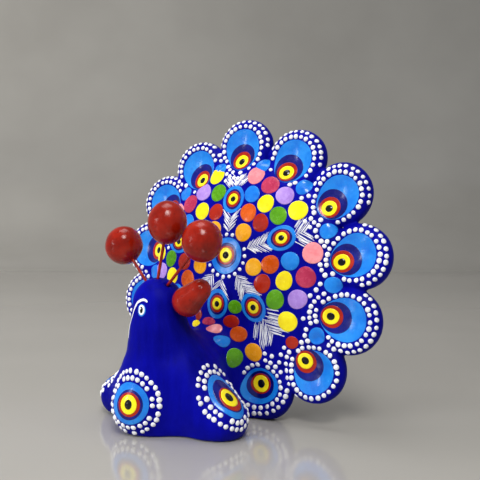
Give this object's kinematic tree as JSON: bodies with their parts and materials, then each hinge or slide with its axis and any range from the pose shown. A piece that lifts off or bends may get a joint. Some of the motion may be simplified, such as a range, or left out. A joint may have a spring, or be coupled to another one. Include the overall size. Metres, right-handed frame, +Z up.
{
  "type": "clay peacock figurine",
  "caption": "Hand-built clay peacock with a scalloped fan tail, a hollow bell-shaped body on knob feet, a blunt upturned beak, and clay balls on springy wires for a crest.",
  "frame": {"origin": "on the ground under the middle of the bounding box", "axes": "+Z up, the peacock faces -Y, and its left side is +X"},
  "size_m": [0.1578, 0.0916, 0.1543],
  "materials": {
    "blue_clay": "low-fired clay under matte ultramarine paint, with raised painted dots and eyes",
    "red_beak": "clay under glossy brick-red paint",
    "red_ball": "hand-rolled clay under glossy brick-red paint",
    "red_wire": "steel wire painted brick red"
  },
  "bodies": {
    "figure": {"body_bell": "blue_clay", "front_foot": "blue_clay", "left_foot": "blue_clay", "right_foot": "blue_clay", "tail_disc": "blue_clay", "tail_lobe_01": "blue_clay", "tail_lobe_02": "blue_clay", "tail_lobe_03": "blue_clay", "tail_lobe_04": "blue_clay", "tail_lobe_05": "blue_clay", "tail_lobe_06": "blue_clay", "tail_lobe_07": "blue_clay", "tail_lobe_08": "blue_clay", "tail_lobe_09": "blue_clay", "tail_lobe_10": "blue_clay", "tail_lobe_11": "blue_clay", "tail_lobe_12": "blue_clay", "tail_lobe_13": "blue_clay", "beak": "red_beak", "crest_wire_root_1": "red_wire", "crest_wire_root_2": "red_wire", "crest_wire_root_3": "red_wire"},
    "crest_1": {"crest_wire_1": "red_wire", "crest_ball_1": "red_ball"},
    "crest_2": {"crest_wire_2": "red_wire", "crest_ball_2": "red_ball"},
    "crest_3": {"crest_wire_3": "red_wire", "crest_ball_3": "red_ball"}
  },
  "joints": [
    {"name": "crest_sway_1", "type": "hinge", "parent": "figure", "child": "crest_1", "pos_m": [-0.01705, -0.0271, 0.06788], "axis": [0.7234, 0, 0.6905], "range_deg": [-8, 8], "stiffness_Nm_per_rad": 1.2},
    {"name": "crest_sway_2", "type": "hinge", "parent": "figure", "child": "crest_2", "pos_m": [-0.01056, -0.0271, 0.07022], "axis": [0.9748, 0, -0.2232], "range_deg": [-8, 8], "stiffness_Nm_per_rad": 1.2},
    {"name": "crest_sway_3", "type": "hinge", "parent": "figure", "child": "crest_3", "pos_m": [-0.00445, -0.0271, 0.0677], "axis": [0.6987, 0, -0.7155], "range_deg": [-8, 8], "stiffness_Nm_per_rad": 1.2}
  ]
}
